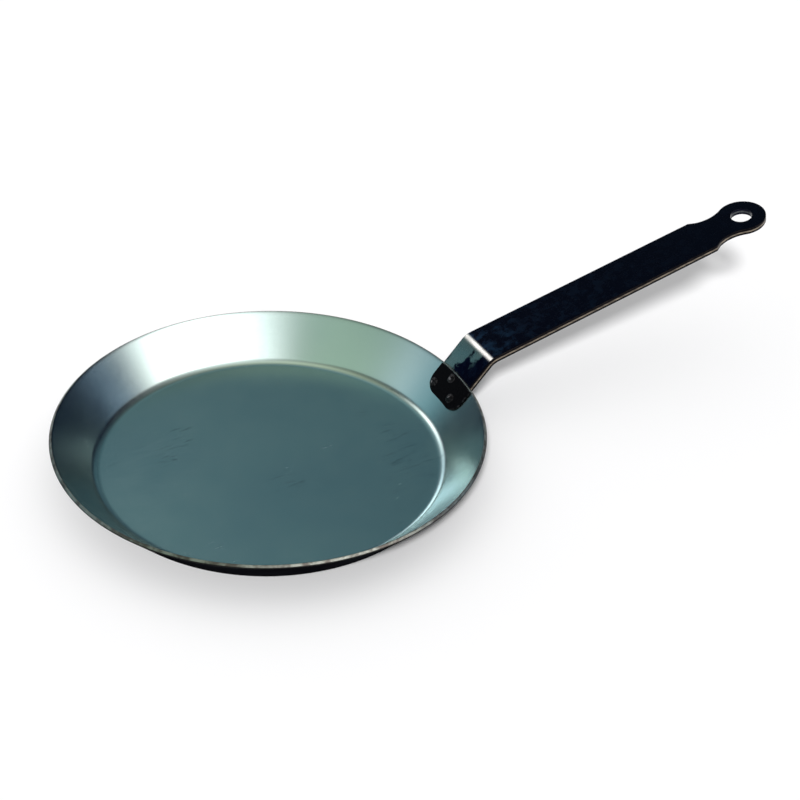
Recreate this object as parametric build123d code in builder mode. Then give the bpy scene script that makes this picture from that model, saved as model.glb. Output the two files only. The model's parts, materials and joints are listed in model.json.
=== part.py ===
from build123d import *
import os
from math import cos, radians, sin, sqrt, tan

os.makedirs("parts", exist_ok=True)

# Shallow frying pan: a pressed bowl with a flared wall, and a flat bar handle riveted to it.
# Millimetres, +Z up. The origin is the centre of the base's underside, and the handle runs along +X.

# Bowl
rim_radius = 120.0  # to the rim's outer edge
pan_height = 26.0  # underside to the rim's upper edge
sheet = 2.0
wall_slope = radians(48.0)  # from the horizontal
corner_radius = 7.5  # inside, where the floor turns up into the wall
rim_break = 0.3

# Handle bar
bar_width = 30.0
bar_thickness = 4.0
bar_break = 0.5
foot_length = 21.0  # down the wall from the rim
foot_corner = 6.0
riser_length = 20.0  # up from the rim, in line with the wall
bend_radius = 9.0  # inside the bend
grip_rise = radians(13.5)
grip_length = 188.0  # bend to the middle of the eye

# Eye at the handle's end, its neck and the shoulders before it
eye_radius = 14.8
hanging_hole_radius = 6.5
neck_half_width = 11.0
neck_to_eye = 16.5
shoulder_to_neck = 12.5
shoulder_run = 4.0
shoulder_radius = 1.2

# Backing plate inside the wall
plate_width = 33.8
plate_height = 17.4
plate_thickness = 1.2
plate_corner = 9.5
plate_below_rim = 0.6
plate_offset = -4.3  # the plate sits a little to one side of the handle
plate_break = 0.3

# Rivets, all square to the handle's foot
rivet_radius = 2.2
rivet_clearance = 0.05
head_radius = 2.8
head_edge = 0.4
head_crown = 0.8
head_sink = 0.6  # lets the head's underside follow the plate's curve
tail_radius = 3.6
tail_edge = 0.6
tail_crown = 1.0
upper_rivet_depth = 4.2
lower_rivet_depth = 13.0
rivet_spread = 9.5
rivet_offset = -1.4  # the rivets follow the plate a little to that side

# The wall's own directions in the X-Z plane: up its slope, and out through it
slope_x = cos(wall_slope)
slope_z = sin(wall_slope)
rim_edge_z = pan_height - sheet * slope_x


def wall_point(up, out):
    """A point given by its distance up the wall from the rim's outer edge, and out from the wall."""
    return (rim_radius + up * slope_x + out * slope_z, rim_edge_z + up * slope_z - out * slope_x)


def wall_dish(side, up):
    """How far the round wall falls back from its tangent plane, a distance to one side."""
    radius = wall_point(up, 0)[0]
    return (radius - sqrt(radius**2 - side**2)) * slope_z


def dome_radius(radius, crown):
    """The ball radius of a dome with the given edge radius and height."""
    return (radius**2 + crown**2) / (2 * crown)


wall_plane = Plane(
    origin=(rim_radius, 0, rim_edge_z), x_dir=(0, 1, 0), z_dir=(slope_z, 0, -slope_x)
)
base_corner = rim_radius - rim_edge_z / tan(wall_slope)
rim_apex = rim_edge_z + rim_radius / tan(wall_slope)  # where the rim's cut face would meet the axis

rivet_places = {
    "rivet_upper": (rivet_offset, -upper_rivet_depth),
    "rivet_lower_left": (rivet_offset + rivet_spread, -lower_rivet_depth),
    "rivet_lower_right": (rivet_offset - rivet_spread, -lower_rivet_depth),
}
rivet_span = sheet + plate_thickness + bar_thickness + head_radius

# Bowl: its outside line, thickened inwards and turned about the centre
with BuildPart() as pan_body:
    with BuildSketch(Plane.XZ):
        with BuildLine() as outside:
            Polyline((0, 0), (base_corner, 0), (rim_radius, rim_edge_z))
            fillet(outside.vertices().sort_by(Axis.X)[1], radius=corner_radius + sheet)
            offset(amount=sheet, side=Side.LEFT)
        make_face()
    revolve(axis=Axis.Z)
    fillet(pan_body.edges().sort_by(Axis.Z)[-2:], radius=rim_break)
    with BuildSketch(wall_plane):
        with Locations(*rivet_places.values()):
            Circle(rivet_radius + rivet_clearance)
    extrude(amount=rivet_span, both=True, mode=Mode.SUBTRACT)
pan_body.part.label = "pan_body"
export_step(pan_body.part, "parts/pan_body.step")

# Handle: the bar's side view, trimmed to its outline, with a seat that follows the bowl's wall
foot_dish = wall_dish(bar_width / 2, 0)
foot_end = wall_point(-foot_length, -foot_dish)
bend_point = wall_point(riser_length, -foot_dish)
grip_x = cos(grip_rise)
grip_z = sin(grip_rise)
grip_plane = Plane(
    origin=(bend_point[0], 0, bend_point[1]), x_dir=(grip_x, 0, grip_z), z_dir=(-grip_z, 0, grip_x)
)
bar_end = grip_length + eye_radius
bar_tip = (bend_point[0] + bar_end * grip_x, bend_point[1] + bar_end * grip_z)
bar_back = -(foot_length + riser_length + bar_thickness)

# The neck is an arc that runs smoothly into the round eye
neck_radius = (neck_to_eye**2 + neck_half_width**2 - eye_radius**2) / (2 * (eye_radius - neck_half_width))
neck_height = neck_half_width + neck_radius
neck_x = grip_length - neck_to_eye
eye_share = eye_radius / (eye_radius + neck_radius)
eye_start = (grip_length - neck_to_eye * eye_share, neck_height * eye_share)
neck_run = shoulder_to_neck - shoulder_run
neck_start = (neck_x - neck_run, neck_height - sqrt(neck_radius**2 - neck_run**2))
shoulder_x = neck_x - shoulder_to_neck

with BuildPart() as handle:
    with BuildSketch(Plane.XZ):
        with BuildLine() as upper_face:
            Polyline(foot_end, bend_point, bar_tip)
            fillet(upper_face.vertices().sort_by(Axis.X)[1], radius=bend_radius + bar_thickness)
            offset(amount=bar_thickness, side=Side.RIGHT)
        make_face()
    extrude(amount=bar_width / 2, both=True)
    foot_edges = handle.edges().filter_by(Axis((0, 0, 0), wall_plane.z_dir)).sort_by(Axis.Z)[:2]
    fillet(foot_edges, radius=foot_corner)
    with BuildSketch(grip_plane) as outline:
        with BuildLine():
            Polyline((bar_back, 0), (bar_back, bar_width / 2), (shoulder_x, bar_width / 2), neck_start)
            ThreePointArc(neck_start, (neck_x, neck_half_width), eye_start)
            RadiusArc(eye_start, (bar_end, 0), eye_radius)
            mirror(about=Plane.XZ)
        make_face()
        shoulders = outline.vertices().filter_by_position(Axis.X, shoulder_x, neck_start[0])
        fillet(shoulders, radius=shoulder_radius)
    extrude(amount=bar_end, both=True, mode=Mode.INTERSECT)
    bar_sides = handle.faces().sort_by(Axis.Y)
    fillet(bar_sides[0].edges() + bar_sides[-1].edges(), radius=bar_break)
    with BuildSketch(grip_plane):
        with Locations((grip_length, 0)):
            Circle(hanging_hole_radius)
    extrude(amount=bar_end, both=True, mode=Mode.SUBTRACT)
    with BuildSketch(Plane.XZ):
        with BuildLine() as bowl_envelope:
            Polyline((0, 0), (base_corner, 0), (rim_radius, rim_edge_z), (0, rim_apex))
            fillet(bowl_envelope.vertices().sort_by(Axis.X)[-2], radius=corner_radius + sheet)
            Line((0, rim_apex), (0, 0))
        make_face()
    revolve(axis=Axis.Z, mode=Mode.SUBTRACT)
    with BuildSketch(wall_plane):
        with Locations(*rivet_places.values()):
            Circle(rivet_radius + rivet_clearance)
    extrude(amount=rivet_span, both=True, mode=Mode.SUBTRACT)
handle.part.label = "handle"
export_step(handle.part, "parts/handle.step")

# Backing plate: a band along the wall's inside, just under the rim, cut to a plate with round corners
plate_inside = -sheet - plate_thickness
plate_bottom = -plate_below_rim - plate_height
band_end = plate_bottom - plate_corner
with BuildPart() as rivet_plate:
    with BuildSketch(Plane.XZ):
        with BuildLine():
            Polyline(
                wall_point(-plate_below_rim, -sheet),
                wall_point(-plate_below_rim, plate_inside),
                wall_point(band_end, plate_inside),
                wall_point(band_end, -sheet),
                close=True,
            )
        make_face()
    revolve(axis=Axis.Z)
    with BuildSketch(wall_plane) as plate_outline:
        with Locations((plate_offset, plate_bottom)):
            Rectangle(plate_width, 2 * plate_height, align=(Align.CENTER, Align.MIN))
        fillet(plate_outline.vertices().group_by(Axis.Y)[0], radius=plate_corner)
    extrude(amount=rivet_span, both=True, mode=Mode.INTERSECT)
    plate_face = rivet_plate.faces().filter_by(GeomType.CONE).sort_by(Axis((0, 0, 0), wall_plane.z_dir))[0]
    fillet(plate_face.edges(), radius=plate_break)
    with BuildSketch(wall_plane):
        with Locations(*rivet_places.values()):
            Circle(rivet_radius + rivet_clearance)
    extrude(amount=rivet_span, both=True, mode=Mode.SUBTRACT)
rivet_plate.part.label = "rivet_plate"
export_step(rivet_plate.part, "parts/rivet_plate.step")

# Rivets: a low domed head on the plate, a plain shank, and a fuller tail on the handle's foot
tail_seat = bar_thickness - foot_dish
tail_shoulder = tail_seat + tail_edge
tail_dome = dome_radius(tail_radius, tail_crown)
head_dome = dome_radius(head_radius, head_crown)
for name, (side, up) in rivet_places.items():
    head_seat = plate_inside - wall_dish(side, up)
    head_shoulder = head_seat - head_edge
    middle = wall_plane.from_local_coords((side, up, 0))
    with BuildPart() as rivet:
        with BuildSketch(Plane(origin=middle, x_dir=wall_plane.y_dir, z_dir=(0, 1, 0))):
            with BuildLine():
                RadiusArc((0, head_shoulder - head_crown), (head_radius, head_shoulder), -head_dome)
                Polyline(
                    (head_radius, head_shoulder),
                    (head_radius, head_seat + head_sink),
                    (rivet_radius, head_seat + head_sink),
                    (rivet_radius, tail_seat),
                    (tail_radius, tail_seat),
                    (tail_radius, tail_shoulder),
                )
                RadiusArc((tail_radius, tail_shoulder), (0, tail_shoulder + tail_crown), -tail_dome)
                Line((0, tail_shoulder + tail_crown), (0, head_shoulder - head_crown))
            make_face()
        revolve(axis=Axis(middle, wall_plane.z_dir))
        add(rivet_plate.part, mode=Mode.SUBTRACT)
    rivet.part.label = name
    export_step(rivet.part, f"parts/{name}.step")
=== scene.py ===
"""Builds a shallow riveted steel frying pan, piece by piece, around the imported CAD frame.

Everything is in metres in the frame's own axes: +Z up, the origin under the middle of the base, and the
handle along +X.
"""

import json
from math import atan2, cos, pi, radians, sin, tan

import bmesh
import bpy
import numpy as np
from bpy.props import FloatProperty, FloatVectorProperty, IntProperty, PointerProperty
from mathutils import Matrix, Vector


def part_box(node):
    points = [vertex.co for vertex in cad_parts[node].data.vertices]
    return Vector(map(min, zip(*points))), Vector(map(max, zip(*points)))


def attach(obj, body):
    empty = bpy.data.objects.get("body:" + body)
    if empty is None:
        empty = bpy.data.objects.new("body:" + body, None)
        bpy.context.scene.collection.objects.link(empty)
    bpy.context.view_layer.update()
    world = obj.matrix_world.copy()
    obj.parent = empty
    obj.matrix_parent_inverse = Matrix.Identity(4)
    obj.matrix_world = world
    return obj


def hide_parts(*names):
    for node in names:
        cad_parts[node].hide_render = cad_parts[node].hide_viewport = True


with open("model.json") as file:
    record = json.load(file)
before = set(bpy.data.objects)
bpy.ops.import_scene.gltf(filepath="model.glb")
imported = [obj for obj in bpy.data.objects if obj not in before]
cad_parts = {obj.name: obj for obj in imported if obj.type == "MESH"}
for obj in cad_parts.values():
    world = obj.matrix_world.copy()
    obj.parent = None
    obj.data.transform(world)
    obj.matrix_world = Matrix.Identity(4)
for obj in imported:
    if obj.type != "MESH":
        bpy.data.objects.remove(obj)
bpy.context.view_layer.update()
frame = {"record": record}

bl_info = {
    "name": "Riveted Frying Pan",
    "version": (1, 0, 0),
    "blender": (4, 5, 0),
    "location": "View3D > Sidebar > Frying Pan",
    "description": "Makes a pressed steel pan with a riveted bar handle, and a plain studio for it",
    "category": "Add Mesh",
}

MM = 0.001
BOWL_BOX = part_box("pan_body")
HOLE = {mount["name"]: mount for mount in frame["record"]["mounts"]}["hanging_hole"]
HOLE_AXIS = Vector(HOLE["axis"])
BODY = "root"
WELD = 0.001 * MM  # points nearer than this become one
SENSOR_WIDTH = 36

WALL_SLOPE = radians(48)
RIM_BREAK = 0.3 * MM
# A rounded square corner stands this far inside the sharp one, seen along either axis
RIM_LOSS = RIM_BREAK * (cos(WALL_SLOPE) + sin(WALL_SLOPE) - 1)


# ---------------------------------------------------------------------------------------------- sizes


class BowlSizes(bpy.types.PropertyGroup):
    rim_radius: FloatProperty(
        name="Rim radius", description="Centre to the rim's outer edge", unit="LENGTH",
        default=BOWL_BOX[1].x + RIM_LOSS,
    )
    height: FloatProperty(
        name="Height", description="Underside to the rim's upper edge", unit="LENGTH",
        default=BOWL_BOX[1].z + RIM_LOSS,
    )
    sheet: FloatProperty(
        name="Sheet", description="Thickness of the pressed sheet", unit="LENGTH", default=2 * MM
    )
    wall_slope: FloatProperty(
        name="Wall slope", description="Wall's angle from the horizontal", subtype="ANGLE",
        default=WALL_SLOPE,
    )
    corner_radius: FloatProperty(
        name="Corner radius", description="Inside, where the floor turns up", unit="LENGTH",
        default=7.5 * MM,
    )
    rim_break: FloatProperty(
        name="Rim break", description="Rounding of the rim's two edges", unit="LENGTH",
        default=RIM_BREAK,
    )
    rim_waver: FloatProperty(
        name="Rim waver", description="How far the trimmed rim dips between its high spots",
        unit="LENGTH", default=0.15 * MM,
    )
    steps_round: IntProperty(
        name="Steps round", description="Faces around the bowl", default=320, min=24
    )


class HandleSizes(bpy.types.PropertyGroup):
    width: FloatProperty(
        name="Width", description="Width of the flat bar", unit="LENGTH", default=30 * MM
    )
    thickness: FloatProperty(
        name="Thickness", description="Thickness of the flat bar", unit="LENGTH",
        default=HOLE["dims"]["length_mm"] * MM,
    )
    edge_break: FloatProperty(
        name="Edge break", description="Rounding of the bar's long edges", unit="LENGTH",
        default=0.5 * MM,
    )
    foot_length: FloatProperty(
        name="Foot length", description="Down the wall from the rim", unit="LENGTH",
        default=21 * MM,
    )
    foot_corner: FloatProperty(
        name="Foot corner", description="Corner radius of the foot", unit="LENGTH", default=6 * MM
    )
    riser_length: FloatProperty(
        name="Riser length", description="Up from the rim to the bend", unit="LENGTH",
        default=20 * MM,
    )
    bend_radius: FloatProperty(
        name="Bend radius", description="Inside the bend", unit="LENGTH", default=9 * MM
    )
    eye_radius: FloatProperty(
        name="Eye radius", description="Outside of the round eye", unit="LENGTH",
        default=14.798 * MM,
    )
    hole_radius: FloatProperty(
        name="Hole radius", description="The hanging hole", unit="LENGTH",
        default=HOLE["dims"]["r_mm"] * MM,
    )
    neck_half_width: FloatProperty(
        name="Neck half width", description="At the narrowest place", unit="LENGTH",
        default=11 * MM,
    )
    neck_to_eye: FloatProperty(
        name="Neck to eye", description="Narrowest place to the eye's centre", unit="LENGTH",
        default=16.5 * MM,
    )
    shoulder_to_neck: FloatProperty(
        name="Shoulder to neck", description="Shoulder corner to the narrowest place",
        unit="LENGTH", default=12.5 * MM,
    )
    shoulder_run: FloatProperty(
        name="Shoulder run", description="Length of the slanting shoulder", unit="LENGTH",
        default=4 * MM,
    )


class PlateSizes(bpy.types.PropertyGroup):
    width: FloatProperty(
        name="Width", description="Along the rim", unit="LENGTH", default=33.8 * MM
    )
    height: FloatProperty(
        name="Height", description="Down the wall", unit="LENGTH", default=17.4 * MM
    )
    thickness: FloatProperty(
        name="Thickness", description="Thickness of the plate", unit="LENGTH", default=1.2 * MM
    )
    corner: FloatProperty(
        name="Corner", description="Radius of the lower corners", unit="LENGTH", default=9.5 * MM
    )
    below_rim: FloatProperty(
        name="Below rim", description="Gap from the rim to the plate", unit="LENGTH",
        default=0.6 * MM,
    )
    offset: FloatProperty(
        name="Offset", description="How far the plate sits to one side", unit="LENGTH",
        default=-4.3 * MM,
    )


class RivetSizes(bpy.types.PropertyGroup):
    shank_radius: FloatProperty(
        name="Shank radius", description="Plain shank", unit="LENGTH", default=2.2 * MM
    )
    head_radius: FloatProperty(
        name="Head radius", description="Head inside the pan", unit="LENGTH", default=2.8 * MM
    )
    head_edge: FloatProperty(
        name="Head edge", description="Upright edge of the head", unit="LENGTH",
        default=0.4 * MM,
    )
    head_crown: FloatProperty(
        name="Head crown", description="Height of the head's dome", unit="LENGTH",
        default=0.8 * MM,
    )
    tail_radius: FloatProperty(
        name="Tail radius", description="Driven tail on the handle's foot", unit="LENGTH",
        default=3.6 * MM,
    )
    tail_edge: FloatProperty(
        name="Tail edge", description="Upright edge of the tail", unit="LENGTH",
        default=0.6 * MM,
    )
    tail_crown: FloatProperty(
        name="Tail crown", description="Height of the tail's dome", unit="LENGTH",
        default=1.0 * MM,
    )
    upper_depth: FloatProperty(
        name="Upper depth", description="Rim to the upper rivet", unit="LENGTH", default=4.2 * MM
    )
    lower_depth: FloatProperty(
        name="Lower depth", description="Rim to the lower rivets", unit="LENGTH",
        default=13.0 * MM,
    )
    spread: FloatProperty(
        name="Spread", description="From the pattern's middle to a lower rivet", unit="LENGTH",
        default=9.5 * MM,
    )
    offset: FloatProperty(
        name="Offset", description="How far the rivets sit to one side", unit="LENGTH",
        default=-1.4 * MM,
    )


class StageSettings(bpy.types.PropertyGroup):
    camera_azimuth: FloatProperty(
        name="Camera azimuth", description="Round the pan from its front", subtype="ANGLE",
        default=radians(-24.42),
    )
    camera_elevation: FloatProperty(
        name="Camera elevation", description="Above the table", subtype="ANGLE",
        default=radians(37.05),
    )
    camera_distance: FloatProperty(
        name="Camera distance", description="From the base's middle", unit="LENGTH",
        default=951.7 * MM,
    )
    camera_aim: FloatVectorProperty(
        name="Camera aim", description="The point at the middle of the view", unit="LENGTH",
        default=(76.1 * MM, -10.4 * MM, 26 * MM),
    )
    camera_roll: FloatProperty(
        name="Camera roll", description="Turn about the line of sight", subtype="ANGLE",
        default=radians(2.34),
    )
    lens: FloatProperty(
        name="Lens", description="Focal length on a 36 mm sensor, in millimetres", default=76.13
    )


class FinishColours(bpy.types.PropertyGroup):
    steel: FloatVectorProperty(
        name="Satin steel", description="Inside of the bowl", subtype="COLOR",
        default=(0.46, 0.60, 0.57),
    )
    steel_clouded: FloatVectorProperty(
        name="Clouded steel", description="Where the steel is duller", subtype="COLOR",
        default=(0.41, 0.55, 0.54),
    )
    underside: FloatVectorProperty(
        name="Near-black underside", description="Outside of the bowl", subtype="COLOR",
        default=(0.003, 0.003, 0.004),
    )
    cut_edge: FloatVectorProperty(
        name="Cut edge", description="The rim's trimmed face", subtype="COLOR",
        default=(0.26, 0.30, 0.27),
    )
    sheared: FloatVectorProperty(
        name="Sheared edge", description="The bright band along the bar's sides", subtype="COLOR",
        default=(0.30, 0.25, 0.19),
    )
    blued: FloatVectorProperty(
        name="Blued bar", description="The handle away from the bowl", subtype="COLOR",
        default=(0.0015, 0.002, 0.012),
    )
    # A painted sheen, laid on the handle's riser
    riser_sheen: FloatVectorProperty(
        name="Painted riser sheen", description="The handle near the bowl", subtype="COLOR",
        default=(0.15, 0.215, 0.205),
    )
    blued_thin: FloatVectorProperty(
        name="Mottled bluing", description="Where the bar's dark blue is thinner", subtype="COLOR",
        default=(0.018, 0.048, 0.10),
    )
    black: FloatVectorProperty(
        name="Black", description="Plate and rivets", subtype="COLOR",
        default=(0.002, 0.002, 0.0025),
    )


# ------------------------------------------------------------------------------- the wall's directions


class Wall:
    """The bowl's wall in the X-Z plane: distances up its slope from the rim, and out through it."""

    def __init__(self, bowl):
        self.slope = bowl.wall_slope
        self.up = np.array((cos(self.slope), sin(self.slope)))
        self.out = np.array((sin(self.slope), -cos(self.slope)))
        self.sheet = bowl.sheet
        self.rim = np.array((bowl.rim_radius, bowl.height - bowl.sheet * cos(self.slope)))

    def section(self, up, out):
        """Radius and height of a point: the rim's outer edge, plus up the slope, plus out from it."""
        return self.rim + np.multiply.outer(up, self.up) + np.multiply.outer(out, self.out)

    def dish(self, side, up):
        """How far the cone falls back from its tangent plane at a sideways distance.

        The circle's sagitta, radius minus the root of radius squared less side squared, times the
        sine of the slope.
        """
        radius = self.section(up, 0 * np.asarray(up))[..., 0]
        return (radius - np.sqrt(radius**2 - np.square(side))) * sin(self.slope)

    def on_cone(self, side, up, out):
        """A point on or beside the wall: the section point, turned about Z so that it lies side off."""
        flat = self.section(up, out)
        turn = np.arcsin(side / flat[..., 0])
        return np.stack((flat[..., 0] * np.cos(turn), flat[..., 0] * np.sin(turn), flat[..., 1]), -1)

    def on_plane(self, side, up, out):
        """A point on the wall's tangent plane at the handle: the section point, moved side along Y."""
        flat = self.section(up, out)
        return np.stack((flat[..., 0], side + 0 * flat[..., 0], flat[..., 1]), -1)


# ------------------------------------------------------------------------------------ curves and grids


def run(start, end, steps):
    """Points along a straight line from start up to, but without, its end."""
    share = np.arange(steps)[:, None] / steps
    return np.asarray(start) * (1 - share) + np.asarray(end) * share


def arc(centre, radius, first, last, steps):
    """Points round an arc from angle first up to, but without, last: centre plus radius (cos, sin)."""
    angle = first + (last - first) * np.arange(steps) / steps
    return np.asarray(centre) + radius * np.stack((np.cos(angle), np.sin(angle)), -1)


def rounded(before, corner, after, radius, steps):
    """The corner between two straight lines as an arc that touches both, ends included.

    The arc's centre lies on the corner's bisector, radius over the sine of half its angle away.
    """
    corner = np.asarray(corner, float)
    a = np.asarray(before) - corner
    b = np.asarray(after) - corner
    a /= np.linalg.norm(a)
    b /= np.linalg.norm(b)
    half = np.arccos(np.clip(a @ b, -1, 1)) / 2
    middle = (a + b) / np.linalg.norm(a + b)
    centre = corner + middle * radius / np.sin(half)
    start = corner + a * radius / np.tan(half) - centre
    end = corner + b * radius / np.tan(half) - centre
    first = atan2(start[1], start[0])
    swing = (atan2(end[1], end[0]) - first + pi) % (2 * pi) - pi
    angle = first + swing * np.linspace(0, 1, steps + 1)
    return centre + radius * np.stack((np.cos(angle), np.sin(angle)), -1)


def patch(points, wear_and_painted_light=0.0, slot=0, wrap=False):
    """A grid of points, a wear_and_painted_light value at each, a material slot per row, whether columns
    close.
    """
    rows, columns = points.shape[:2]
    slots = np.broadcast_to(np.asarray(slot), (rows - 1,))
    return {
        "points": points,
        "wear_and_painted_light": np.broadcast_to(wear_and_painted_light, (rows, columns)),
        "slots": slots,
        "wrap": wrap,
    }


def grid_faces(rows, columns, wrap, start):
    """Vertex numbers of a grid's four-sided faces, row by row, counted from start."""
    row = np.arange(rows - 1)[:, None]
    column = np.arange(columns if wrap else columns - 1)[None, :]
    beside = (column + 1) % columns
    corners = (row * columns + column, row * columns + beside,
               (row + 1) * columns + beside, (row + 1) * columns + column)
    return start + np.stack(corners, -1).reshape(-1, 4)


def weld(mesh):
    """Merges doubled points at seams and poles, then turns every face outwards."""
    shell = bmesh.new()
    shell.from_mesh(mesh)
    bmesh.ops.remove_doubles(shell, verts=shell.verts, dist=WELD)
    bmesh.ops.recalc_face_normals(shell, faces=shell.faces)
    shell.to_mesh(mesh)
    shell.free()


def make_piece(name, patches, materials, replaced):
    """Joins grids into one closed, smooth piece, welds their seams and gives it to the frame."""
    points, wear_and_painted_light, faces, slots = [], [], [], []
    start = 0
    for p in patches:
        rows, columns = p["points"].shape[:2]
        block = grid_faces(rows, columns, p["wrap"], start)
        points.append(p["points"].reshape(-1, 3))
        wear_and_painted_light.append(np.ravel(p["wear_and_painted_light"]))
        faces.append(block)
        slots.append(np.repeat(p["slots"], len(block) // (rows - 1)))
        start += rows * columns
    mesh = bpy.data.meshes.new(name)
    mesh.from_pydata(np.concatenate(points), [], np.concatenate(faces).tolist())
    mesh.polygons.foreach_set("material_index", np.concatenate(slots).astype(np.int32))
    # Each point's value for wearing, painted shade and painted glints, read by the materials
    attribute = mesh.attributes.new("wear_and_painted_light", "FLOAT", "POINT")
    attribute.data.foreach_set("value", np.concatenate(wear_and_painted_light).astype(np.float32))
    weld(mesh)
    mesh.polygons.foreach_set("use_smooth", np.ones(len(mesh.polygons), bool))
    for material in materials:
        mesh.materials.append(material)
    piece = bpy.data.objects.new(name, mesh)
    bpy.context.collection.objects.link(piece)
    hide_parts(replaced)
    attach(piece, BODY)
    return piece


# ----------------------------------------------------------------------------------------- the shapes


def bowl_patches(bowl):
    """The bowl as a turned section: radius times cosine, radius times sine, height, all round.

    The section runs out along the base, round the corner and up the wall, over the rim's cut face
    with its two broken edges, and back down the inside to the middle of the floor. The height dips
    a little as a slow wave of the angle, with the cube of the height so that the base stays flat.
    """
    wall = Wall(bowl)
    edge = bowl.rim_break
    outer_corner = bowl.corner_radius + bowl.sheet
    flat = wall.rim[0] - wall.rim[1] / tan(wall.slope) - outer_corner * tan(wall.slope / 2)
    pivot = (flat, outer_corner)
    down = -pi / 2
    inner_rim = wall.rim - bowl.sheet * wall.out
    out_angle = wall.slope - pi / 2
    outer_wall_start = np.array(pivot) + outer_corner * wall.out
    inner_wall_end = np.array(pivot) + bowl.corner_radius * wall.out

    base = run((0, 0), (flat, 0), 16)
    outside = np.concatenate((
        base,
        arc(pivot, outer_corner, down, down + wall.slope, 14),
        run(outer_wall_start, wall.rim - edge * wall.up, 14),
    ))
    cut = np.concatenate((
        arc(wall.rim - edge * wall.up - edge * wall.out, edge, out_angle, out_angle + pi / 2, 5),
        run(wall.rim - edge * wall.out, inner_rim + edge * wall.out, 3),
        arc(inner_rim - edge * wall.up + edge * wall.out, edge, out_angle + pi / 2, out_angle + pi, 5),
    ))
    inside = np.concatenate((
        run(inner_rim - edge * wall.up, inner_wall_end, 20),
        arc(pivot, bowl.corner_radius, down + wall.slope, down, 18),
        run((flat, bowl.sheet), (0, bowl.sheet), 30),
        [(0, bowl.sheet)],
    ))
    section = np.concatenate((outside, cut, inside))
    angle = np.arange(bowl.steps_round) * 2 * pi / bowl.steps_round
    height = section[:, 1:2]
    dip = (2 + np.sin(2 * angle + 0.7) + np.sin(5 * angle + 2.1)) / 4
    points = np.stack((
        section[:, :1] * np.cos(angle),
        section[:, :1] * np.sin(angle),
        height - bowl.rim_waver * dip * (height / bowl.height) ** 3,
    ), -1)
    slots = np.concatenate((np.full(len(outside), 1), np.full(len(cut), 2), np.zeros(len(inside) - 1)))
    # Within this reach of the rim the inside is made darker and the outside lighter
    rim_band_reach = 1.2 * MM
    to_rim = np.hypot(*(section - (wall.rim + inner_rim) / 2).T) - bowl.sheet / 2
    wear_and_painted_light = np.clip(1 - to_rim / rim_band_reach, 0, 1)
    # The cut face's outer rounded edge gets 0, which its material paints near black as shade
    cut_face_shading = np.concatenate((np.zeros(5), (0.15, 0.8, 1.0), np.linspace(1.0, 0.5, 5)))
    wear_and_painted_light[len(outside):len(outside) + len(cut)] = cut_face_shading
    return [patch(points, wear_and_painted_light[:, None], slots, wrap=True)]


def slab_patches(rungs, across, thickness, edge, place, ring=None, seat=None):
    """A flat bar of any outline: two sheets a thickness apart, and a rounded strip along its outline.

    rungs hold a length and a half width each, and the sheets are rows of points between a rung's two
    ends. The strip goes round the outline as an edge-radius quarter circle, a straight side and
    another quarter circle. place(length, side, depth) puts a point in space. ring, if given, is the
    round end: its outline from the last rung's left end to its right, and its hole's centre, radius
    and edge break. seat(length, side) is how deep the upper sheet is hollowed.
    """
    seat = seat or (lambda length, side: 0 * side)
    left = np.stack((rungs[:, 0], rungs[:, 1]), -1)
    right = left * (1, -1)
    inner = across[1:-1]
    near = right[0] + (left[0] - right[0]) * inner[:, None]
    far = ring["outline"] if ring else left[-1] + (right[-1] - left[-1]) * inner[:, None]
    loop = np.concatenate((near, left, far, right[::-1]))
    along = np.roll(loop, -1, 0) - np.roll(loop, 1, 0)
    along /= np.linalg.norm(along, axis=1)[:, None]
    inward = np.stack((along[:, 1], -along[:, 0]), -1)
    inset = loop + inward * edge

    count = len(left)
    first = len(near)
    left_in = inset[first:first + count]
    right_in = inset[first + count + len(far):][::-1]
    far_in = inset[first + count:first + count + len(far)]
    sheet = right_in[:, None] + (left_in - right_in)[:, None] * across[None, :, None]
    sheet[0, 1:-1] = inset[:first]
    if not ring:
        sheet[-1, 1:-1] = far_in[::-1]
    sheets = [(sheet, False)]

    patches = []
    if ring:
        rim = np.concatenate((sheet[-1], far_in))
        spoke = rim - ring["centre"]
        turn = np.arctan2(spoke[:, 1], spoke[:, 0])
        hole_circle = np.stack((np.cos(turn), np.sin(turn)), -1)
        lip = ring["centre"] + (ring["hole"] + ring["edge"]) * hole_circle
        hole_to_rim = np.array((0, 0.04, 0.2, 0.4, 0.6, 0.8, 0.96, 1))[:, None, None]
        sheets.append((lip + (rim - lip) * hole_to_rim, True))
        hole_loop = lip[None] + (-hole_circle * ring["edge"])[None] * strip_reach()[:, None, None]
        depth = strip_depth(thickness, ring["edge"])[:, None]
        hole_strip = place(hole_loop[..., 0], hole_loop[..., 1], depth + 0 * hole_loop[..., 0])
        patches.append(patch(hole_strip, strip_wear_and_shade()[:, None], wrap=True))

    for plan, wrap in sheets:
        length, side = plan[..., 0], plan[..., 1]
        patches.append(patch(place(length, side, seat(length, side)), wrap=wrap))
        patches.append(patch(place(length, side, thickness + 0 * side), wrap=wrap))

    plan = loop[None] + inward[None] * (edge * (1 - strip_reach()))[:, None, None]
    depth = strip_depth(thickness, edge)[:, None] + 0 * plan[..., 0]
    fade = np.linspace(1, 0, len(depth))[:, None]
    depth = depth + seat(inset[:, 0], inset[:, 1])[None] * fade
    patches.append(patch(place(plan[..., 0], plan[..., 1], depth), strip_wear_and_shade()[:, None], 1, wrap=True))
    return patches


# An edge strip's rows: a quarter circle, places down the straight side, and the quarter circle again
STRIP_ARC = np.sin(np.linspace(0, pi / 2, 5))
STRIP_ARC_DEPTH = 1 - np.cos(np.linspace(0, pi / 2, 5))
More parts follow.
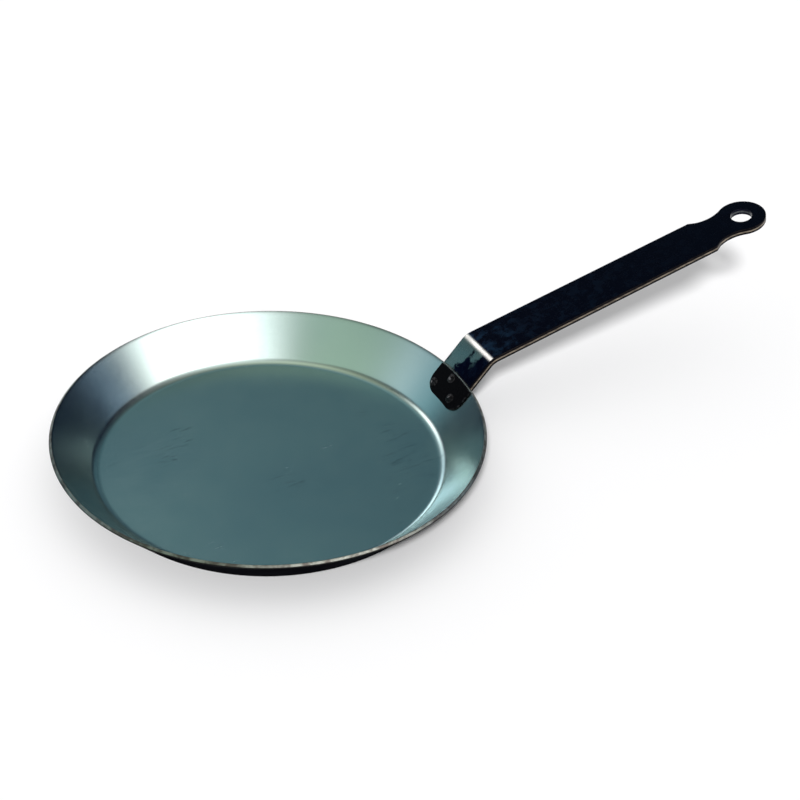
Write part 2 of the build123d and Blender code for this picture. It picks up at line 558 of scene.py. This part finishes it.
# Low values paint the bar's sides near black as shade; high ones mark the bright shear band
STRIP_ARC_WEAR_AND_SHADE = np.array((0.0, 0.2, 0.3, 0.2, 0.1))
STRIP_SIDE = np.array((0.25, 0.38, 0.58, 0.7, 0.9))
STRIP_SIDE_WEAR_AND_SHADE = (0.0, 1.0, 0.9, 0.1, 0.0)


def strip_reach():
    """Share of the edge radius reached at each row of an edge strip: a sine, full, and back again."""
    return np.concatenate((STRIP_ARC, np.ones(len(STRIP_SIDE)), STRIP_ARC[::-1]))


def strip_depth(thickness, edge):
    """Depth at each row of an edge strip: one minus a cosine down, along the side, and out again."""
    side = edge + (thickness - 2 * edge) * STRIP_SIDE
    return np.concatenate((edge * STRIP_ARC_DEPTH, side, thickness - edge * STRIP_ARC_DEPTH[::-1]))


def strip_wear_and_shade():
    """Wear and shade at each row of an edge strip: rubbing at the corners, and the band that the shear left
    bright.

    On the bar's sides, rows with low values are painted near black as shade.
    """
    return np.concatenate((STRIP_ARC_WEAR_AND_SHADE, STRIP_SIDE_WEAR_AND_SHADE, STRIP_ARC_WEAR_AND_SHADE[::-1]))


def across_shares(steps, margin):
    """Shares from 0 to 1 across a sheet, even, with one more just inside each end."""
    return np.concatenate(((0, margin), np.linspace(0, 1, steps + 1)[1:-1], (1 - margin, 1)))


class BarPath:
    """The handle's upper face in side view: up the wall's slope, round the bend, and out along the grip."""

    def __init__(self, bowl, handle):
        self.wall = Wall(bowl)
        self.rise = atan2(-HOLE_AXIS.x, HOLE_AXIS.z)
        self.turn = self.wall.slope - self.rise
        self.radius = handle.bend_radius + handle.thickness
        self.dish = float(self.wall.dish(handle.width / 2, 0.0))
        trim = self.radius * tan(self.turn / 2)
        self.foot = self.wall.section(-handle.foot_length, -self.dish)
        self.bend_start = handle.foot_length + handle.riser_length - trim
        self.bend_end = self.bend_start + self.radius * self.turn
        self.grip = np.array((cos(self.rise), sin(self.rise)))
        bend_point = self.wall.section(handle.riser_length, -self.dish)
        self.grip_start = bend_point + trim * self.grip
        eye = Vector(HOLE["pos_m"]) + HOLE_AXIS * handle.thickness / 2
        reach = (np.array((eye.x, eye.z)) - self.grip_start) @ self.grip
        self.eye = self.bend_end + reach

    def place(self, length, side, depth):
        """A point of the bar: along the face, then depth square to it, where the face turns as it bends.

        Before the bend and after it the face is straight. In between it is an arc whose angle grows
        with length over radius, so a point at some depth keeps its distance from the face.
        """
        bent = np.clip((length - self.bend_start) / self.radius, 0, self.turn)
        angle = self.wall.slope - bent
        before = np.minimum(length, self.bend_start)
        after = np.maximum(length - self.bend_end, 0)
        x = self.foot[0] + before * self.wall.up[0] + after * self.grip[0]
        z = self.foot[1] + before * self.wall.up[1] + after * self.grip[1]
        x = x + self.radius * (sin(self.wall.slope) - np.sin(angle))
        z = z - self.radius * (cos(self.wall.slope) - np.cos(angle))
        return np.stack((x + depth * np.sin(angle), side + 0 * x, z - depth * np.cos(angle)), -1)


def handle_patches(bowl, handle):
    """The handle as a bar whose outline has a rounded foot, two shoulders, a neck arc and a round eye."""
    path = BarPath(bowl, handle)
    half = handle.width / 2
    corner = handle.foot_corner
    neck, eye = handle.neck_half_width, handle.eye_radius
    neck_radius = (handle.neck_to_eye**2 + neck**2 - eye**2) / (2 * (eye - neck))
    neck_at = path.eye - handle.neck_to_eye
    neck_centre = np.array((neck_at, neck + neck_radius))
    neck_run = handle.shoulder_to_neck - handle.shoulder_run
    lean = np.arcsin(neck_run / neck_radius)
    shoulder = np.array((neck_at - handle.shoulder_to_neck, half))
    neck_start = neck_centre - neck_radius * np.array((sin(lean), cos(lean)))
    neck_tangent = np.array((cos(lean), -sin(lean)))
    corner_round = 1.2 * MM
    hole_break = 0.2 * MM

    turn = np.linspace(0, pi / 2, 9)
    foot = np.stack((corner * (1 - np.cos(turn)), half - corner * (1 - np.sin(turn))), -1)
    straight = np.concatenate((
        np.linspace(corner, path.bend_start, 15)[1:],
        np.linspace(path.bend_start, path.bend_end, 15)[1:],
        np.linspace(path.bend_end, shoulder[0] - corner_round, 60)[1:],
    ))
    sides = np.stack((straight, np.full(len(straight), half)), -1)
    shoulders = np.concatenate((
        rounded(sides[0], shoulder, neck_start, corner_round, 5),
        rounded(shoulder, neck_start, neck_start + neck_tangent, corner_round, 4),
    ))
    neck_turn = np.linspace(-lean * 0.9, 0, 8)
    neck_left = neck_centre + neck_radius * np.stack((np.sin(neck_turn), -np.cos(neck_turn)), -1)
    rungs = np.concatenate((foot, sides, shoulders, neck_left))

    eye_lean = np.arctan2(handle.neck_to_eye, neck_centre[1])
    to_eye = np.linspace(0, eye_lean, 8)[1:-1]
    neck_right = neck_centre + neck_radius * np.stack((np.sin(to_eye), -np.cos(to_eye)), -1)
    round_eye = np.linspace(pi / 2 + eye_lean, -pi / 2 - eye_lean, 57)
    eye_arc = (path.eye, 0) + eye * np.stack((np.cos(round_eye), np.sin(round_eye)), -1)
    outline = np.concatenate((neck_right, eye_arc, (neck_right * (1, -1))[::-1]))
    ring = {
        "outline": outline,
        "centre": np.array((path.eye, 0)),
        "hole": handle.hole_radius,
        "edge": hole_break,
    }

    def seat(length, side):
        """The foot's hollow, so that it follows the round wall: the dish at its edge less the dish here."""
        up = np.minimum(length - handle.foot_length, 0)
        hollow = np.maximum(path.dish - path.wall.dish(side, up), 0)
        fade = np.clip((path.bend_start - length) / (path.bend_start - handle.foot_length), 0, 1)
        return hollow * fade * fade * (3 - 2 * fade)

    across = across_shares(14, 0.012)
    return slab_patches(rungs, across, handle.thickness, handle.edge_break, path.place, ring, seat)


def plate_patches(bowl, plate):
    """The backing plate as a thin slab on the wall's cone, with two rounded lower corners."""
    wall = Wall(bowl)
    half = plate.width / 2
    top_corner = 0.8 * MM
    edge = 0.3 * MM
    turn = np.linspace(0, pi / 2, 7)
    top = np.stack((top_corner * (1 - np.cos(turn)), half - top_corner * (1 - np.sin(turn))), -1)
    turn = np.linspace(pi / 2, 0, 13)
    bottom = np.stack((
        plate.height - plate.corner * (1 - np.cos(turn)), half - plate.corner * (1 - np.sin(turn))
    ), -1)
    middle = np.linspace(top_corner, plate.height - plate.corner, 8)[1:-1]
    sides = np.stack((middle, np.full(len(middle), half)), -1)
    rungs = np.concatenate((top, sides, bottom))

    def place(length, side, depth):
        """A point of the plate: down the wall from its top edge, and depth back from its face."""
        return wall.on_cone(
            side + plate.offset, -plate.below_rim - length, depth - plate.thickness - wall.sheet
        )

    return slab_patches(rungs, across_shares(20, 0.01), plate.thickness, edge, place)


def rivet_patches(bowl, handle, plate, rivet, side, up):
    """A rivet as a turned section: a low dome, an upright edge, the shank, and the tail's edge and dome.

    Each dome is a ball's cap, whose radius is edge radius squared plus crown squared, over twice the
    crown.
    """
    wall = Wall(bowl)
    dish = float(wall.dish(handle.width / 2, 0.0))
    head_seat = -wall.sheet - plate.thickness - float(wall.dish(side, up))
    tail_seat = handle.thickness - dish
    share = np.sin(np.linspace(0, pi / 2, 10))[1:]
    edge_turn = np.linspace(0, pi / 2, 4)[1:]
    soft = 0.15 * MM
    sink = 0.5 * MM  # the head's underside lies this far into the plate, below its curved face

    def cap(radius, crown):
        """Distance from the axis and height above the edge along a ball's cap, outwards."""
        ball = (radius**2 + crown**2) / (2 * crown)
        reach = (radius - soft) * share
        return reach, np.sqrt(ball**2 - reach**2) - (ball - crown)

    head_reach, head_height = cap(rivet.head_radius, rivet.head_crown)
    tail_reach, tail_height = cap(rivet.tail_radius, rivet.tail_crown)
    head_top = head_seat - rivet.head_edge
    tail_top = tail_seat + rivet.tail_edge
    head_soft = head_height[-1] * (1 - np.sin(edge_turn))
    tail_soft = tail_height[-1] * (1 - np.sin(edge_turn))[::-1]
    radius = np.concatenate((
        (0,), head_reach, rivet.head_radius - soft * np.cos(edge_turn) ** 2, (rivet.head_radius,),
        (rivet.shank_radius, rivet.shank_radius, rivet.tail_radius),
        rivet.tail_radius - soft * (np.cos(edge_turn) ** 2)[::-1], tail_reach[::-1], (0,),
    ))
    along = np.concatenate((
        (head_top - rivet.head_crown,), head_top - head_height, head_top - head_soft,
        (head_seat + sink,),
        (head_seat + sink, tail_seat, tail_seat),
        tail_top + tail_soft, (tail_top + tail_height)[::-1], (tail_top + rivet.tail_crown,),
    ))
    steps = 48
    angle = np.arange(steps) * 2 * pi / steps
    sideways = side + radius[:, None] * np.cos(angle)
    uphill = up + radius[:, None] * np.sin(angle)
    # The head's centre gets 1, which its material paints as a glint; the rest gets 0.1 for slight wearing
    glint_radius = 0.35 * rivet.head_radius
    wear_and_painted_light = np.where(radius < glint_radius, 1.0, 0.1)[:, None]
    return [patch(wall.on_plane(sideways, uphill, along[:, None] + 0 * uphill), wear_and_painted_light, wrap=True)]


# --------------------------------------------------------------------------------------- the finishes


class Nodes:
    """A short hand for building a material's nodes."""

    def __init__(self, name):
        self.material = bpy.data.materials.new(name)
        self.material.use_nodes = True
        self.tree = self.material.node_tree
        self.tree.nodes.clear()
        self.shader = self.tree.nodes.new("ShaderNodeBsdfPrincipled")
        self.output = self.tree.nodes.new("ShaderNodeOutputMaterial")
        self.link(self.shader.outputs["BSDF"], self.output.inputs["Surface"])
        self.place = self.tree.nodes.new("ShaderNodeTexCoord").outputs["Object"]

    def link(self, source, target):
        self.tree.links.new(source, target)

    def feed(self, socket, value):
        """Sets a socket to a plain value, or links it to another node's output."""
        if isinstance(value, bpy.types.NodeSocket):
            self.link(value, socket)
        else:
            socket.default_value = value

    def stretch(self, scale, turn=(0, 0, 0)):
        """Object coordinates, turned and scaled."""
        node = self.tree.nodes.new("ShaderNodeMapping")
        node.inputs["Rotation"].default_value = turn
        node.inputs["Scale"].default_value = scale
        self.link(self.place, node.inputs["Vector"])
        return node.outputs["Vector"]

    def noise(self, vector, scale, detail=4.0, roughness=0.5, distortion=0.0):
        """Cloudy noise from 0 to 1."""
        node = self.tree.nodes.new("ShaderNodeTexNoise")
        self.link(vector, node.inputs["Vector"])
        node.inputs["Scale"].default_value = scale
        node.inputs["Detail"].default_value = detail
        node.inputs["Roughness"].default_value = roughness
        node.inputs["Distortion"].default_value = distortion
        return node.outputs["Fac"]

    def ramp(self, value, low, high, first=0.0, last=1.0):
        """Eases a value from first at low to last at high."""
        node = self.tree.nodes.new("ShaderNodeMapRange")
        node.interpolation_type = "SMOOTHSTEP"
        self.link(value, node.inputs["Value"])
        node.inputs["From Min"].default_value = low
        node.inputs["From Max"].default_value = high
        node.inputs["To Min"].default_value = first
        node.inputs["To Max"].default_value = last
        return node.outputs["Result"]

    def math(self, kind, a, b):
        node = self.tree.nodes.new("ShaderNodeMath")
        node.operation = kind
        self.feed(node.inputs[0], a)
        self.feed(node.inputs[1], b)
        return node.outputs[0]

    def mix(self, share, a, b):
        """Blends two colours."""
        node = self.tree.nodes.new("ShaderNodeMix")
        node.data_type = "RGBA"
        self.feed(node.inputs["Factor"], share)
        self.feed(node.inputs["A"], colour(a))
        self.feed(node.inputs["B"], colour(b))
        return node.outputs["Result"]

    def attribute(self, name):
        node = self.tree.nodes.new("ShaderNodeAttribute")
        node.attribute_name = name
        return node.outputs["Fac"]

    def axis(self, name):
        """One of the object coordinates."""
        node = self.tree.nodes.new("ShaderNodeSeparateXYZ")
        self.link(self.place, node.inputs["Vector"])
        return node.outputs[name]

    def bump(self, height, distance, strength=1.0, before=None):
        """Raises the surface by a height from 0 to 1, times a distance in metres."""
        node = self.tree.nodes.new("ShaderNodeBump")
        node.inputs["Strength"].default_value = strength
        node.inputs["Distance"].default_value = distance
        self.link(height, node.inputs["Height"])
        if before:
            self.link(before, node.inputs["Normal"])
        return node.outputs["Normal"]

    def finish(self, colour_value, roughness, metallic, normal=None):
        self.feed(self.shader.inputs["Base Color"], colour(colour_value))
        self.feed(self.shader.inputs["Roughness"], roughness)
        self.feed(self.shader.inputs["Metallic"], metallic)
        if normal:
            self.link(normal, self.shader.inputs["Normal"])
        return self.material


def colour(value):
    """A colour as four numbers, or a socket left as it is."""
    if isinstance(value, bpy.types.NodeSocket):
        return value
    return (*value[:3], 1.0)


def satin_steel(colours):
    """Pressed sheet steel: faint rolling grain, slow clouding, and a few clusters of dull scuffs."""
    n = Nodes("Satin steel")
    clouds = n.noise(n.place, 9, 3, 0.5)
    blotches = n.noise(n.place, 45, 4, 0.6)
    grain = n.noise(n.stretch((90, 1600, 900), (0, 0, radians(20))), 1, 3, 0.6)
    scuffs = n.math("MAXIMUM", scuff_cluster(n, -38, 0.0), scuff_cluster(n, 64, 0.37))
    on_floor = n.ramp(n.axis("Z"), 2.5 * MM, 6 * MM, 0.5, 0.0)
    scuffs = n.math("MULTIPLY", scuffs, on_floor)
    tone = n.mix(n.ramp(clouds, 0.38, 0.64), colours.steel, colours.steel_clouded)
    tone = n.mix(scuffs, tone, (0.10, 0.16, 0.18))
    # Darker within a narrow band along the rim
    tone = n.mix(n.math("MULTIPLY", n.attribute("wear_and_painted_light"), 0.5), tone, (0.16, 0.19, 0.19))
    rough = n.ramp(grain, 0.2, 0.8, 0.2, 0.26)
    rough = n.math("ADD", rough, n.ramp(blotches, 0.3, 0.7, -0.01, 0.02))
    return n.finish(tone, rough, 1.0, n.bump(grain, 0.003 * MM))


def scuff_cluster(n, lean, shift):
    """Short dull strokes at one lean, in degrees, kept to a few patches."""
    strokes = n.noise(n.stretch((90, 640, 200), (0, 0, radians(lean))), 1, 3, 0.55, 0.4)
    patches = n.noise(n.stretch((1, 1, 1), (0, 0, shift)), 19, 1.5, 0.5)
    return n.math("MULTIPLY", n.ramp(strokes, 0.57, 0.70), n.ramp(patches, 0.58, 0.70))


def black_underside(colours):
    """The outside of the bowl: dull and near black, with no gloss, and a fine tooth."""
    n = Nodes("Black underside")
    clouds = n.noise(n.place, 30, 4, 0.6)
    tooth = n.noise(n.place, 2600, 2, 0.6)
    tone = n.mix(n.ramp(clouds, 0.3, 0.75), colours.underside, (0.007, 0.008, 0.010))
    # Lighter within a narrow band along the rim
    tone = n.mix(n.math("MULTIPLY", n.attribute("wear_and_painted_light"), 0.4), tone, (0.05, 0.045, 0.04))
    n.shader.inputs["Specular IOR Level"].default_value = 0.0
    return n.finish(tone, n.ramp(clouds, 0.3, 0.7, 0.45, 0.62), 0.0, n.bump(tooth, 0.01 * MM))


def cut_steel(colours):
    """The rim's trimmed face: bare steel with fine marks square to the sheet, dark where it was nicked."""
    n = Nodes("Cut steel")
    marks = n.noise(n.place, 1500, 2, 0.5)
    patches = n.noise(n.place, 140, 4, 0.65)
    tone = n.mix(n.ramp(patches, 0.38, 0.62), colours.cut_edge, (0.10, 0.10, 0.09))
    # Painted shade: where this mask is low, on the cut's outer rounded edge, the face is near black
    tone = n.mix(n.ramp(n.attribute("wear_and_painted_light"), 0.1, 0.7), (0.01, 0.01, 0.01), tone)
    return n.finish(tone, n.ramp(marks, 0.3, 0.7, 0.3, 0.5), 1.0, n.bump(marks, 0.01 * MM))


def blued_bar(colours, bowl, handle):
    """The handle: a painted sheen on the riser with dark blots low and near, deep blue-black beyond.

    The sheen makes the riser lighter higher up and towards +Y; a painted highlight of bare-steel tone runs
    along the bend.
    """
    n = Nodes("Blued bar")
    mottle = n.noise(n.place, 170, 5, 0.62, 0.3)
    blots = n.noise(n.place, 110, 3, 0.5, 0.2)
    fine = n.noise(n.place, 900, 3, 0.6)
    bend = bowl.rim_radius + handle.riser_length * cos(bowl.wall_slope)
    light_height = 14 * MM
    near_reach = 45 * MM
    haze_start, haze_end = 20 * MM, 150 * MM
    x = n.axis("X")
    on_riser = n.ramp(x, bend - 0.5 * MM, bend + 1.5 * MM, 1.0, 0.0)
    # Painted sheen: this mask makes the riser lighter higher up and towards +Y, broken by blots
    height = n.ramp(n.axis("Z"), bowl.height, bowl.height + light_height, -0.1, 0.3)
    side = n.ramp(n.axis("Y"), -handle.width / 2, handle.width / 2, -0.3, 0.75)
    clear = n.math("ADD", n.math("ADD", height, side), n.ramp(blots, 0.3, 0.7, -0.4, 0.4))
    clear = n.math("MULTIPLY", n.ramp(clear, 0.30, 0.55), on_riser)
    near = n.ramp(x, bend, bend + near_reach, 0.9, 0.0)
    far = n.ramp(x, bend + haze_start, bend + haze_end, 0.25, 0.05)
    hazed = n.math("MULTIPLY", n.math("MAXIMUM", near, far), n.ramp(mottle, 0.44, 0.70))
    hazed = n.math("MULTIPLY", hazed, n.math("SUBTRACT", 1.0, n.math("MULTIPLY", on_riser, 0.8)))
    tone = n.mix(hazed, colours.blued, colours.blued_thin)
    tone = n.mix(clear, tone, colours.riser_sheen)
    # Painted highlight: a band of bare-steel tone along the bend
    highlight_in = n.ramp(x, bend - 2.3 * MM, bend - 0.9 * MM)
    highlight_out = n.ramp(x, bend - 0.1 * MM, bend + 1.4 * MM, 1.0, 0.0)
    wear_and_highlight = n.math("MULTIPLY", highlight_in, highlight_out)
    tone = n.mix(n.math("MULTIPLY", wear_and_highlight, 0.9), tone, (0.55, 0.58, 0.56))
    edge = n.math("MULTIPLY", n.attribute("wear_and_painted_light"), n.ramp(mottle, 0.30, 0.55, 0.25, 1.0))
    tone = n.mix(n.math("MULTIPLY", edge, 0.7), tone, (0.12, 0.13, 0.13))
    rough = n.math("ADD", n.ramp(mottle, 0.3, 0.7, 0.22, 0.32), n.ramp(fine, 0.3, 0.7, -0.02, 0.03))
    normal = n.bump(mottle, 0.02 * MM)
    normal = n.bump(fine, 0.004 * MM, 1.0, normal)
    return n.finish(tone, rough, 1.0, normal)


def sheared_side(colours):
    """The bar's long sides: a bright band from the shear, dull, with painted shade, near black, above and
    below it.
    """
    n = Nodes("Sheared side")
    streaks = n.noise(n.stretch((150, 150, 900)), 1, 3, 0.6)
    tone = n.mix(n.ramp(streaks, 0.35, 0.65), colours.sheared, (0.12, 0.10, 0.08))
    # Painted shade: rows with low values, above and below the bright band, are near black
    tone = n.mix(n.ramp(n.attribute("wear_and_painted_light"), 0.2, 0.8), (0.004, 0.004, 0.006), tone)
    return n.finish(tone, n.ramp(streaks, 0.3, 0.7, 0.35, 0.5), 1.0, n.bump(streaks, 0.02 * MM))


def black_lacquer(name, colours, wear_and_glint, gloss):
    """Black lacquer with a soft orange-peel, lighter where the mesh marks it.

    On the plate that is lacquer thinned by rubbing at chips along its edges; on a rivet it is a painted
    glint at the head's centre.
    """
    n = Nodes(name)
    peel = n.noise(n.place, 700, 3, 0.5)
    chips = n.noise(n.place, 420, 3, 0.65)
    # On a rivet this lays a painted glint; on the plate, chips where the lacquer is thin
    wear_and_highlight = n.math("MULTIPLY", n.attribute("wear_and_painted_light"), n.ramp(chips, 0.48, 0.62, 0.0, wear_and_glint))
    tone = n.mix(wear_and_highlight, colours.black, (0.16, 0.16, 0.17))
    n.shader.inputs["Specular IOR Level"].default_value = gloss
    return n.finish(tone, n.ramp(chips, 0.3, 0.7, 0.22, 0.34), 0.0, n.bump(peel, 0.008 * MM))


def pale_floor():
    """A plain matt surface."""
    n = Nodes("Pale floor")
    n.shader.inputs["Specular IOR Level"].default_value = 0.0
    return n.finish((0.9, 0.9, 0.905), 1.0, 0.0)


# --------------------------------------------------------------------------------------- the operators


class PAN_OT_bowl(bpy.types.Operator):
    """Makes the pressed bowl"""

    bl_idname = "pan.bowl"
    bl_label = "Bowl"

    def execute(self, context):
        scene = context.scene
        colours = scene.pan_colours
        materials = [satin_steel(colours), black_underside(colours), cut_steel(colours)]
        piece = make_piece("bowl", bowl_patches(scene.pan_bowl), materials, "pan_body")
        return {"FINISHED"}


class PAN_OT_handle(bpy.types.Operator):
    """Makes the bar handle with its foot, bend, grip and eye"""

    bl_idname = "pan.handle"
    bl_label = "Handle"

    def execute(self, context):
        scene = context.scene
        colours = scene.pan_colours
        materials = [blued_bar(colours, scene.pan_bowl, scene.pan_handle), sheared_side(colours)]
        patches = handle_patches(scene.pan_bowl, scene.pan_handle)
        piece = make_piece("bar_handle", patches, materials, "handle")
        return {"FINISHED"}


class PAN_OT_plate(bpy.types.Operator):
    """Makes the backing plate inside the wall"""

    bl_idname = "pan.plate"
    bl_label = "Backing plate"

    def execute(self, context):
        scene = context.scene
        finish = black_lacquer("Plate lacquer", scene.pan_colours, 0.6, 0.02)
        patches = plate_patches(scene.pan_bowl, scene.pan_plate)
        piece = make_piece("backing_plate", patches, [finish, finish], "rivet_plate")
        return {"FINISHED"}


class PAN_OT_rivets(bpy.types.Operator):
    """Makes the three rivets"""

    bl_idname = "pan.rivets"
    bl_label = "Rivets"

    def execute(self, context):
        scene = context.scene
        rivet = scene.pan_rivet
        # The lighter tone at each head's centre is a painted glint
        finish = black_lacquer("Rivet lacquer", scene.pan_colours, 1.0, 0.1)
        places = {
            "rivet_upper": (rivet.offset, -rivet.upper_depth),
            "rivet_lower_left": (rivet.offset + rivet.spread, -rivet.lower_depth),
            "rivet_lower_right": (rivet.offset - rivet.spread, -rivet.lower_depth),
        }
        for node, (side, up) in places.items():
            patches = rivet_patches(
                scene.pan_bowl, scene.pan_handle, scene.pan_plate, rivet, side, up
            )
            piece = make_piece(node + "_driven", patches, [finish], node)
        return {"FINISHED"}


class PAN_OT_stage(bpy.types.Operator):
    """Lays the floor, hangs the lights and sets the camera"""

    bl_idname = "pan.stage"
    bl_label = "Stage"

    def execute(self, context):
        stage = context.scene.pan_stage
        lay_floor()
        light_room(stage.camera_azimuth)
        hang_lights(stage.camera_azimuth)
        set_camera(stage)
        context.scene.view_settings.view_transform = "Standard"
        return {"FINISHED"}


def lay_floor():
    """A round floor, wide enough to fill every view: a flat grid of radius and angle."""
    steps = 96
    angle = np.arange(steps) * 2 * pi / steps
    radius = np.array((0, 0.3, 1.0, 6.0))[:, None]
    points = np.stack((radius * np.cos(angle), radius * np.sin(angle), 0 * radius * angle), -1)
    mesh = bpy.data.meshes.new("floor")
    mesh.from_pydata(points.reshape(-1, 3), [], grid_faces(len(radius), steps, True, 0).tolist())
    weld(mesh)
    mesh.materials.append(pale_floor())
    floor = bpy.data.objects.new("floor", mesh)
    bpy.context.collection.objects.link(floor)


def from_view(azimuth, right, away, up):
    """A direction given as seen by the camera, turned into the frame's own axes."""
    return Matrix.Rotation(azimuth, 3, "Z") @ Vector((right, away, up))


# Soft lights as the camera sees their directions: right, away, up, tightness, strength, tint
WHITE = (1.12, 1.0, 0.98)
COOL = (0.92, 1.0, 1.08)
BLUE = (0.50, 0.88, 1.0)
DEEP_BLUE = (0.65, 0.85, 1.2)
SAGE = (0.85, 1.0, 0.8)
PALE_YELLOW = (1.0, 1.0, 0.72)
SOFTBOXES = (
    (0.45, -0.61, 0.65, 35, 3.0, WHITE),
    (0.07, -0.69, 0.72, 38, 2.1, WHITE),
    (0.77, -0.29, 0.57, 35, 3.1, WHITE),
    (0.98, 0.07, 0.16, 45, 2.6, DEEP_BLUE),
    (0.53, -0.35, 0.77, 35, 1.5, WHITE),
    (0.25, -0.45, 0.86, 35, 1.2, WHITE),
    (0.25, -0.10, 0.96, 18, 0.8, WHITE),
    (-0.15, 0.10, 0.98, 14, 0.75, PALE_YELLOW),
    (-0.90, -0.02, 0.43, 35, 0.95, COOL),
    (-0.90, 0.30, 0.30, 35, 0.6, BLUE),
    (-0.77, -0.31, 0.55, 35, 0.65, SAGE),
    (-0.55, -0.49, 0.68, 35, 0.55, SAGE),
    (-0.28, -0.52, 0.80, 35, 0.55, SAGE),
    (-0.25, 0.94, 0.24, 150, 3.6, COOL),
    (-0.42, 0.78, 0.45, 60, 1.1, COOL),
    (-0.55, 0.58, 0.60, 100, 4.3, WHITE),
    (0.33, 0.85, 0.40, 70, 0.15, BLUE),
    (0.02, 0.80, 0.60, 16, 0.15, BLUE),
    (-0.15, 0.60, 0.79, 35, 0.25, BLUE),
)
ROOM = (0.005, 0.011, 0.028)


def light_room(azimuth):
    """The room's soft light: each softbox glows as e to the tightness times the cosine less one."""
    world = bpy.data.worlds.new("Studio room")
    bpy.context.scene.world = world
    world.use_nodes = True
    tree = world.node_tree
    tree.nodes.clear()
    place = tree.nodes.new("ShaderNodeTexCoord").outputs["Generated"]
    glow = None
    for right, away, up, tightness, strength, tint in SOFTBOXES:
        dot = tree.nodes.new("ShaderNodeVectorMath")
        dot.operation = "DOT_PRODUCT"
        tree.links.new(place, dot.inputs[0])
        dot.inputs[1].default_value = from_view(azimuth, right, away, up).normalized()
        fall = tree.nodes.new("ShaderNodeMath")
        fall.operation = "MULTIPLY_ADD"
        tree.links.new(dot.outputs["Value"], fall.inputs[0])
        fall.inputs[1].default_value = tightness
        fall.inputs[2].default_value = -tightness
        ease = tree.nodes.new("ShaderNodeMath")
        ease.operation = "EXPONENT"
        tree.links.new(fall.outputs[0], ease.inputs[0])
        lobe = tree.nodes.new("ShaderNodeVectorMath")
        lobe.operation = "SCALE"
        lobe.inputs[0].default_value = tuple(strength * share for share in tint)
        tree.links.new(ease.outputs[0], lobe.inputs["Scale"])
        total = tree.nodes.new("ShaderNodeVectorMath")
        total.operation = "ADD"
        tree.links.new(lobe.outputs["Vector"], total.inputs[0])
        if glow:
            tree.links.new(glow, total.inputs[1])
        else:
            total.inputs[1].default_value = ROOM
        glow = total.outputs["Vector"]
    background = tree.nodes.new("ShaderNodeBackground")
    tree.links.new(glow, background.inputs["Color"])
    output = tree.nodes.new("ShaderNodeOutputWorld")
    tree.links.new(background.outputs["Background"], output.inputs["Surface"])
    world.cycles_visibility.diffuse = False


def hang_lights(azimuth):
    """A key just above the camera, and a very broad fill overhead that leans in from behind left."""
    lamps = (
        # name, right, away, up, angle across, strength
        ("key", -0.13, -0.745, 0.655, 8, 2.95),
        ("fill", -0.20, 0.25, 0.95, 130, 1.7),
    )
    for name, right, away, up, across, strength in lamps:
        data = bpy.data.lights.new(name, "SUN")
        data.angle = radians(across)
        data.energy = strength
        lamp = bpy.data.objects.new(name, data)
        lamp.rotation_mode = "QUATERNION"
        lamp.rotation_quaternion = from_view(azimuth, right, away, up).to_track_quat("Z", "Y")
        lamp.visible_glossy = False
        bpy.context.collection.objects.link(lamp)


def set_camera(stage):
    """Sets the camera at its distance, azimuth and elevation, aimed at its point and rolled."""
    data = bpy.data.cameras.new("camera")
    data.sensor_width = SENSOR_WIDTH
    data.lens = stage.lens
    camera = bpy.data.objects.new("camera", data)
    level = cos(stage.camera_elevation)
    place = from_view(stage.camera_azimuth, 0, -level, sin(stage.camera_elevation))
    place *= stage.camera_distance
    sight = Vector(stage.camera_aim) - place
    turn = sight.to_track_quat("-Z", "Y").to_matrix() @ Matrix.Rotation(stage.camera_roll, 3, "Z")
    camera.matrix_world = Matrix.Translation(place) @ turn.to_4x4()
    bpy.context.collection.objects.link(camera)
    bpy.context.scene.camera = camera


class PAN_PT_panel(bpy.types.Panel):
    """Lists the pan's pieces and the stage"""

    bl_label = "Frying Pan"
    bl_idname = "PAN_PT_panel"
    bl_space_type = "VIEW_3D"
    bl_region_type = "UI"
    bl_category = "Frying Pan"

    def draw(self, context):
        for operator in OPERATORS:
            self.layout.operator(operator.bl_idname)


GROUPS = {
    "pan_bowl": BowlSizes,
    "pan_handle": HandleSizes,
    "pan_plate": PlateSizes,
    "pan_rivet": RivetSizes,
    "pan_stage": StageSettings,
    "pan_colours": FinishColours,
}
OPERATORS = (PAN_OT_bowl, PAN_OT_handle, PAN_OT_plate, PAN_OT_rivets, PAN_OT_stage)


def register():
    for group in GROUPS.values():
        bpy.utils.register_class(group)
    for name, group in GROUPS.items():
        setattr(bpy.types.Scene, name, PointerProperty(type=group))
    for operator in (*OPERATORS, PAN_PT_panel):
        bpy.utils.register_class(operator)


def unregister():
    for operator in (PAN_PT_panel, *reversed(OPERATORS)):
        bpy.utils.unregister_class(operator)
    for name in GROUPS:
        delattr(bpy.types.Scene, name)
    for group in reversed(GROUPS.values()):
        bpy.utils.unregister_class(group)


def main():
    register()
    bpy.ops.pan.bowl()
    bpy.ops.pan.handle()
    bpy.ops.pan.plate()
    bpy.ops.pan.rivets()
    bpy.ops.pan.stage()


if __name__ == "__main__":
    main()
